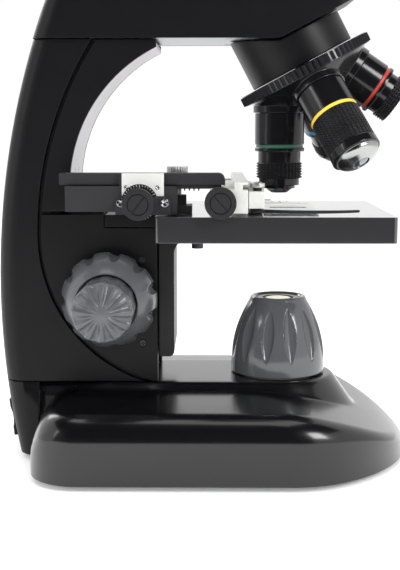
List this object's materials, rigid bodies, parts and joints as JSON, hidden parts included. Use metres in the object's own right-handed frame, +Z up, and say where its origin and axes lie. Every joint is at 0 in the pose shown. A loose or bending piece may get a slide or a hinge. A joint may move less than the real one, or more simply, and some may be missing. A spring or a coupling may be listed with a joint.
{
  "type": "digital compound microscope",
  "caption": "Upright digital compound microscope with curved arm, square mechanical stage, tilted objective turret, fluted lamp hood and a swivelling screen.",
  "frame": {"origin": "centre of the footprint box at table height", "axes": "+Z up, +Y away from the user (arm behind the stage at -Y), +X to the user's right where the stage knobs are"},
  "size_m": [0.16, 0.2038, 0.3614],
  "materials": {
    "black_plastic": "satin",
    "bezel_plastic": "matte",
    "grey_plastic": "gloss",
    "stage_black": "satin",
    "black_casting": "textured",
    "knob_black": "matte",
    "barrel_black": "gloss",
    "bright_steel": "satin",
    "dark_screw": "satin",
    "plate_steel": "satin",
    "cast_metal": "cast",
    "strip_grey": "satin",
    "bush_brass": "machined",
    "foot_rubber": "matte",
    "clear_glass": "clear",
    "screen_glass": "gloss",
    "board_green": "satin",
    "lamp_white": "satin"
  },
  "bodies": {
    "frame": {"base_shell": "black_plastic", "bottom_plate": "plate_steel", "rubber_feet": "foot_rubber", "bottom_screws": "plate_steel", "led_board": "lamp_white", "lamp_lens": "clear_glass", "dc_inlet": "bezel_plastic", "driver_board": "board_green", "arm_frame": "cast_metal", "rear_shell": "black_plastic", "arm_cover_right": "black_plastic", "arm_cover_left": "black_plastic", "front_strip": "strip_grey", "focus_cover_right": "black_plastic", "focus_cover_left": "black_plastic", "cover_screws": "dark_screw", "column_cap": "black_plastic", "guide_rails": "bright_steel", "shaft_bushes": "bush_brass", "nose_mount": "barrel_black", "head_floor": "plate_steel", "head_shell": "black_plastic", "camera_module": "board_green"},
    "hood": {"lamp_hood": "grey_plastic", "hood_ring": "bezel_plastic"},
    "switch": {"power_switch": "bezel_plastic"},
    "dimmer": {"dimmer_wheel": "grey_plastic"},
    "coarse": {"coarse_shaft": "bright_steel", "coarse_knob_right": "grey_plastic", "coarse_knob_left": "grey_plastic"},
    "fine": {"fine_shaft": "bright_steel", "fine_knob_right": "grey_plastic", "fine_knob_left": "grey_plastic"},
    "lift": {"lift_block": "cast_metal"},
    "stage": {"stage_carrier": "stage_black", "stage_plate": "stage_black", "stage_screws": "dark_screw", "condenser_lens": "clear_glass", "slide_guide": "black_casting", "guide_plate": "bright_steel", "guide_screws": "bright_steel", "clamp_screw": "bright_steel"},
    "disc": {"diaphragm_disc": "bezel_plastic"},
    "cross_spindle": {"cross_knob": "knob_black"},
    "cross": {"cross_bar": "black_casting", "long_rail": "bright_steel"},
    "long_spindle": {"long_knob": "knob_black"},
    "carriage": {"slide_carriage": "bright_steel", "specimen_slide": "clear_glass"},
    "finger": {"spring_finger": "black_casting"},
    "nosepiece": {"turret": "barrel_black", "objective_4x": "barrel_black", "objective_10x": "barrel_black", "objective_20x": "barrel_black", "objective_40x": "barrel_black"},
    "swivel": {"swivel_collar": "black_plastic"},
    "screen": {"screen_back": "black_plastic", "screen_bezel": "bezel_plastic", "screen_glass": "screen_glass"},
    "button": {"screen_button": "grey_plastic"}
  },
  "joints": [
    {"name": "hood_turn", "type": "hinge", "parent": "frame", "child": "hood", "pos_m": [0, 0.0369, 0.04], "axis": [0, 0, 1], "range_deg": [0, 60]},
    {"name": "switch_rock", "type": "hinge", "parent": "frame", "child": "switch", "pos_m": [0.011, -0.0926, 0.02], "axis": [1, 0, 0], "range_deg": [-14, 0]},
    {"name": "dimmer_turn", "type": "hinge", "parent": "frame", "child": "dimmer", "pos_m": [-0.069, -0.0231, 0.016], "axis": [0, 0, 1], "range_deg": [-135, 135]},
    {"name": "coarse_turn", "type": "hinge", "parent": "frame", "child": "coarse", "pos_m": [0, -0.0463, 0.0823], "axis": [1, 0, 0], "range_deg": [-83, 14]},
    {"name": "coarse_lift", "type": "slide", "parent": "frame", "child": "lift", "axis": [0, 0, 1], "range_m": [-0.0102, 0.0016]},
    {"name": "fine_turn", "type": "hinge", "parent": "frame", "child": "fine", "pos_m": [0, -0.0463, 0.0823], "axis": [1, 0, 0], "range_deg": [-366, 366]},
    {"name": "fine_lift", "type": "slide", "parent": "lift", "child": "stage", "axis": [0, 0, 1], "range_m": [-0.0005, 0.0005]},
    {"name": "disc_turn", "type": "hinge", "parent": "stage", "child": "disc", "pos_m": [0, 0.0569, 0.114], "axis": [0, 0, 1], "continuous": true},
    {"name": "cross_turn", "type": "hinge", "parent": "stage", "child": "cross_spindle", "pos_m": [0.05, -0.0307, 0.1299], "axis": [1, 0, 0], "range_deg": [-53, 126]},
    {"name": "cross_travel", "type": "slide", "parent": "stage", "child": "cross", "axis": [0, 1, 0], "range_m": [-0.012, 0.005]},
    {"name": "long_turn", "type": "hinge", "parent": "cross", "child": "long_spindle", "pos_m": [0.05, 0.0069, 0.1305], "axis": [1, 0, 0], "range_deg": [-728, 728]},
    {"name": "long_travel", "type": "slide", "parent": "cross", "child": "carriage", "axis": [1, 0, 0], "range_m": [-0.02, 0.02]},
    {"name": "finger_swing", "type": "hinge", "parent": "carriage", "child": "finger", "pos_m": [0.044, 0.0243, 0.126], "axis": [0, 0, 1], "range_deg": [-25, 0], "stiffness_Nm_per_rad": 0.02, "springref_deg": 8.59},
    {"name": "nosepiece_turn", "type": "hinge", "parent": "frame", "child": "nosepiece", "pos_m": [0, 0.0369, 0.216], "axis": [0, 0.4695, -0.8829], "continuous": true},
    {"name": "screen_swivel", "type": "hinge", "parent": "frame", "child": "swivel", "pos_m": [0, 0.0009, 0.262], "axis": [0, 0, 1], "range_deg": [-135, 135]},
    {"name": "screen_tilt", "type": "hinge", "parent": "swivel", "child": "screen", "pos_m": [0, 0.0009, 0.276], "axis": [1, 0, 0], "range_deg": [-40, 30]},
    {"name": "button_press", "type": "slide", "parent": "screen", "child": "button", "axis": [0, 0.866, -0.5], "range_m": [0, 0.001], "stiffness_N_per_m": 300}
  ],
  "couplings": [
    {"joint": "coarse_turn", "follows": "coarse_lift", "rad_per_m": 138.89},
    {"joint": "fine_turn", "follows": "fine_lift", "rad_per_m": 12566},
    {"joint": "cross_turn", "follows": "cross_travel", "rad_per_m": -178.57},
    {"joint": "long_turn", "follows": "long_travel", "rad_per_m": 628.32}
  ]
}
